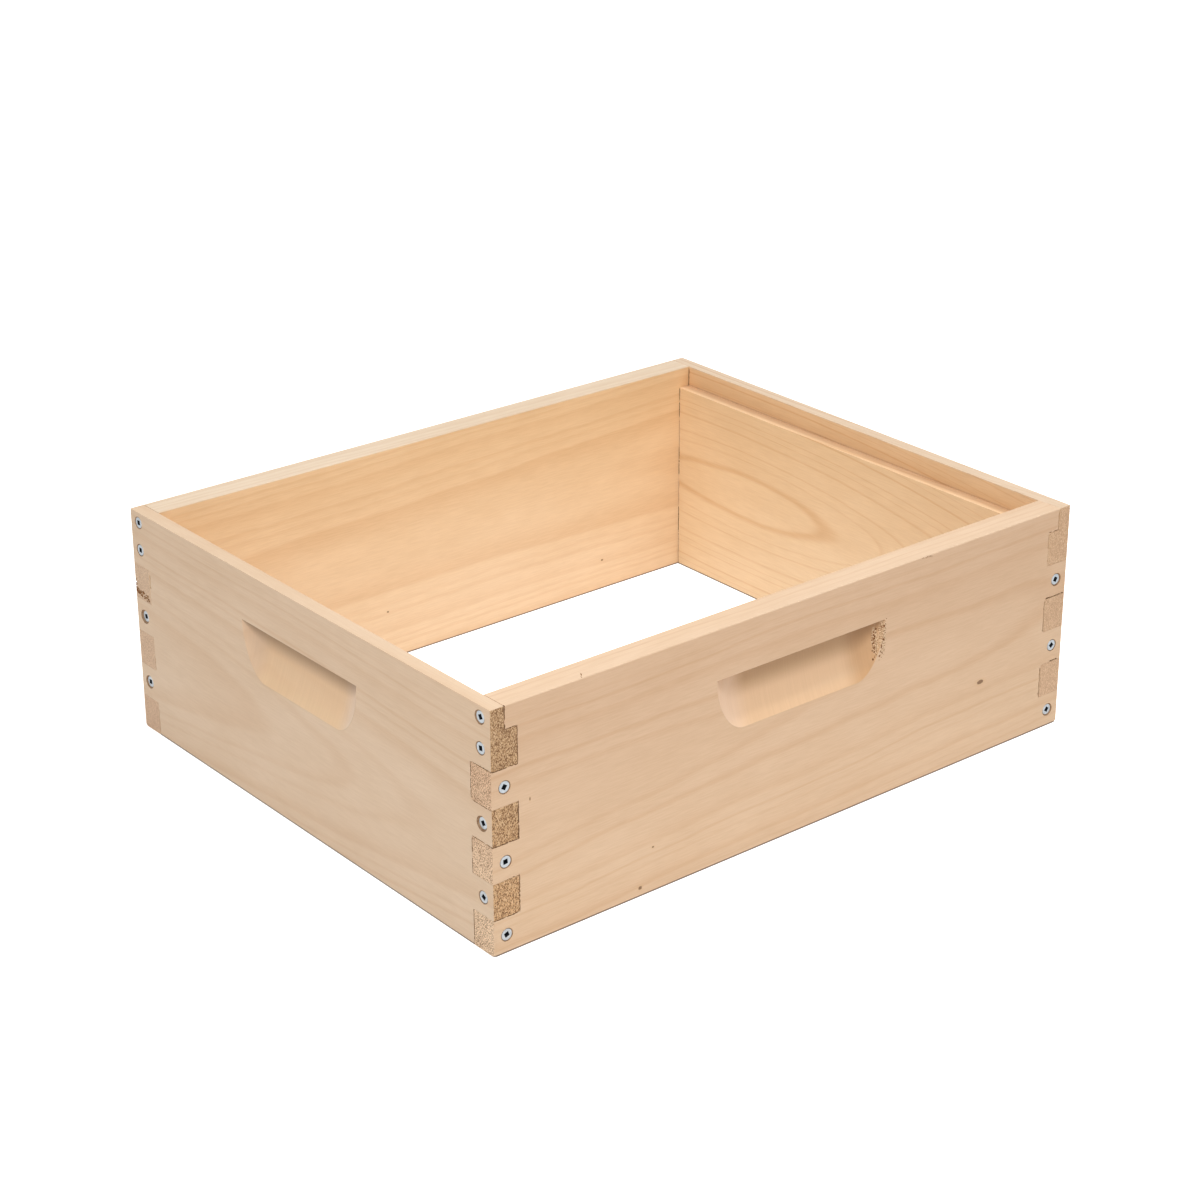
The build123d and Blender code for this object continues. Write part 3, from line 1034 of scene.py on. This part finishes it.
def corner_screws_tree():
    """Geometry nodes that drive a screw in at each point, in its outward direction, turned at random."""
    sizes = ("Head Diameter", "Length", *map(label, SCREW_SETTINGS))
    inputs = {
        "Points": "Geometry", **dict.fromkeys(sizes, "Float"), "Turn Seed": "Int", "Material": "Material"}
    bench, given, out = node_group("Corner Screws", inputs, {"Screws": "Geometry"}, "GeometryNodeTree")
    named = bench.add("GeometryNodeInputNamedAttribute", {"Name": "outward"}, data_type="FLOAT_VECTOR")
    outward = named.outputs[0]
    upright = bench.add("FunctionNodeAlignRotationToVector", {"Vector": outward}, axis="Z").outputs[0]
    chance = bench.add(
        "FunctionNodeRandomValue", {3: 2 * pi, "Seed": given["Turn Seed"]}, data_type="FLOAT")
    spin = bench.add("FunctionNodeAxisAngleToRotation", {"Angle": chance.outputs[1]}).outputs[0]
    turned = bench.add("FunctionNodeRotateRotation", {0: upright, 1: spin}, rotation_space="LOCAL")
    placed = bench.add("GeometryNodeInstanceOnPoints", {
        "Points": given["Points"], "Instance": one_screw(bench, given), "Rotation": turned.outputs[0]})
    screws = bench.add("GeometryNodeRealizeInstances", {0: placed.outputs[0]}).outputs[0]
    plated = bench.add("GeometryNodeSetMaterial", {"Geometry": screws, "Material": given["Material"]})
    bench.feed(out[0], plated.outputs[0])
    return bench.tree


def zinc_material(settings):
    """Bright zinc plate, a little cloudy, with painted shade in its square recess."""
    material = bpy.data.materials.new("bright_zinc")
    material.use_nodes = True
    bench = NodeBench(material.node_tree)
    shader = material.node_tree.nodes["Principled BSDF"]
    point = bench.add("ShaderNodeTexCoord").outputs["Object"]
    cloudy = bench.noise(point, (420.0, 420.0, 420.0), detail=3.0)
    recess = bench.add("ShaderNodeAttribute", attribute_name="recess").outputs["Fac"]
    bright = bench.rise(cloudy, 0.3, 0.7)
    colour = bench.tint(settings.zinc_colour, bright, (0.86, 0.87, 0.88), (1.05, 1.05, 1.05))
    # Painted shade: the recess takes the dark recess colour
    bench.feed(shader.inputs["Base Color"], bench.blend(recess, colour, settings.recess_shade_colour))
    dulled = bench.math("MULTIPLY_ADD", recess, 0.3, bench.span(cloudy, 0.22, 0.46))
    bench.feed(shader.inputs["Roughness"], dulled)
    shader.inputs["Metallic"].default_value = 1.0
    return material


def make_screws(settings):
    """Drive all the corner screws as one piece in place of their nodes."""
    places = screw_places()
    mesh = bpy.data.meshes.new("screw_points")
    heads = [head - outward * DEEP_SCREWS.get(node, 0.0) * MM for node, (head, outward) in places.items()]
    mesh.from_pydata(heads, [], [])
    outward = mesh.attributes.new("outward", "FLOAT_VECTOR", "POINT")
    for item, (_, direction) in zip(outward.data, places.values()):
        item.vector = direction
    piece = add_object("corner_screws", mesh)
    tree = corner_screws_tree()
    values = {label(name): getattr(settings, name) for name in (*SCREW_SETTINGS, "turn_seed")}
    values["Head Diameter"] = SCREW_HEAD
    values["Length"] = SCREW_LENGTH
    values["Material"] = zinc_material(settings)
    modifier = piece.modifiers.new("Screws", "NODES")
    modifier.node_group = tree
    for item in tree.interface.items_tree:
        if item.in_out == "INPUT" and item.name in values:
            modifier[item.identifier] = values[item.name]
    work_in_modifiers(piece)
    if len(piece.data.polygons) < len(places):
        raise RuntimeError("The corner screws came out empty")
    piece.data.shade_smooth()
    piece.data.set_sharp_from_angle(angle=radians(28))
    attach(piece, BODY)
    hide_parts(*SCREW_NODES)


class HIVE_OT_screws(bpy.types.Operator):
    """Drive the countersunk screws of the four corners"""

    bl_idname = "hive.screws"
    bl_label = "Corner Screws"

    def execute(self, context):
        make_screws(context.scene.hive_screws)
        return {"FINISHED"}


def seen_directly(bench):
    """Mask of the rays that show the stage itself: from the camera, and by way of metal or glass."""
    path = bench.add("ShaderNodeLightPath").outputs
    mirrored = bench.math("MAXIMUM", path["Is Glossy Ray"], path["Is Transmission Ray"])
    return bench.math("MAXIMUM", path["Is Camera Ray"], mirrored)


def lay_floor(settings):
    """Pale floor under the box; it is raised to white where it is seen, and keeps the box's shadow."""
    half = 8.0
    drop = 0.2 * MM
    mesh = bpy.data.meshes.new("studio_floor")
    corners = [(-half, -half, -drop), (half, -half, -drop), (half, half, -drop), (-half, half, -drop)]
    mesh.from_pydata(corners, [], [(0, 1, 2, 3)])
    floor = add_object("studio_floor", mesh)
    material = bpy.data.materials.new("studio_floor")
    material.use_nodes = True
    bench = NodeBench(material.node_tree)
    shader = material.node_tree.nodes["Principled BSDF"]
    shader.inputs["Base Color"].default_value = (0.90, 0.90, 0.90, 1.0)
    shader.inputs["Roughness"].default_value = 0.9
    shader.inputs["Specular IOR Level"].default_value = 0.1
    shader.inputs["Emission Color"].default_value = (1.0, 1.0, 1.0, 1.0)
    seen = bench.add("ShaderNodeLightPath").outputs["Is Camera Ray"]
    lift = bench.math("MULTIPLY_ADD", seen, settings.floor_lift, settings.floor_glow)
    bench.feed(shader.inputs["Emission Strength"], lift)
    mesh.materials.append(material)


def hang_soft_box(scene, name, place, side, power):
    """Square soft box that faces the middle of the hive super."""
    light = bpy.data.lights.new(name, "AREA")
    light.size = side
    light.energy = power
    lamp = bpy.data.objects.new(name, light)
    lamp.location = place
    aim = Vector((0.0, 0.0, HEIGHT / 2)) - lamp.location
    lamp.rotation_euler = aim.to_track_quat("-Z", "Y").to_euler()
    scene.collection.objects.link(lamp)


def light_room(scene, settings):
    """Even white room light, a large soft box overhead and a weaker one by the camera."""
    world = bpy.data.worlds.new("studio_room")
    world.use_nodes = True
    scene.world = world
    bench = NodeBench(world.node_tree)
    background = world.node_tree.nodes["Background"]
    background.inputs["Color"].default_value = (1.0, 1.0, 1.0, 1.0)
    lift = 1.0 - settings.sky_strength
    strength = bench.math("MULTIPLY_ADD", seen_directly(bench), lift, settings.sky_strength)
    bench.feed(background.inputs["Strength"], strength)
    hang_soft_box(scene, "overhead_soft_box", settings.key_place, 1.6, settings.key_power)
    hang_soft_box(scene, "camera_soft_box", settings.fill_place, 1.2, settings.fill_power)


def set_camera(scene, settings):
    """Camera at the photograph's point of view."""
    data = bpy.data.cameras.new("photograph_view")
    data.sensor_width = 36.0
    data.lens = settings.camera_lens
    data.shift_x, data.shift_y = settings.camera_shift
    camera = bpy.data.objects.new("photograph_view", data)
    camera.location = settings.camera_place
    camera.rotation_euler = (pi / 2 - settings.camera_pitch, 0.0, settings.camera_yaw)
    scene.collection.objects.link(camera)
    scene.camera = camera


class HIVE_OT_stage(bpy.types.Operator):
    """Lay the floor, hang the light and set up the camera"""

    bl_idname = "hive.stage"
    bl_label = "Stage"

    def execute(self, context):
        settings = context.scene.hive_stage
        context.scene.view_settings.view_transform = "Standard"
        lay_floor(settings)
        light_room(context.scene, settings)
        set_camera(context.scene, settings)
        return {"FINISHED"}


SETTINGS = {
    "hive_wood": HiveWoodSettings,
    "hive_screws": HiveScrewSettings,
    "hive_stage": HiveStageSettings,
}
OPERATORS = (HIVE_OT_end_boards, HIVE_OT_side_boards, HIVE_OT_screws, HIVE_OT_stage)


class HIVE_PT_panel(bpy.types.Panel):
    """Steps that dress the hive super, in order"""

    bl_idname = "HIVE_PT_panel"
    bl_label = "Hive Super"
    bl_space_type = "VIEW_3D"
    bl_region_type = "UI"
    bl_category = "Hive"

    def draw(self, context):
        for operator in OPERATORS:
            self.layout.operator(operator.bl_idname)


def register():
    for cls in (*SETTINGS.values(), *OPERATORS, HIVE_PT_panel):
        bpy.utils.register_class(cls)
    for name, cls in SETTINGS.items():
        setattr(bpy.types.Scene, name, bpy.props.PointerProperty(type=cls))


def unregister():
    for name in SETTINGS:
        delattr(bpy.types.Scene, name)
    for cls in (HIVE_PT_panel, *reversed(OPERATORS), *SETTINGS.values()):
        bpy.utils.unregister_class(cls)


def main():
    register()
    bpy.ops.hive.end_boards()
    bpy.ops.hive.side_boards()
    bpy.ops.hive.screws()
    bpy.ops.hive.stage()


if __name__ == "__main__":
    main()
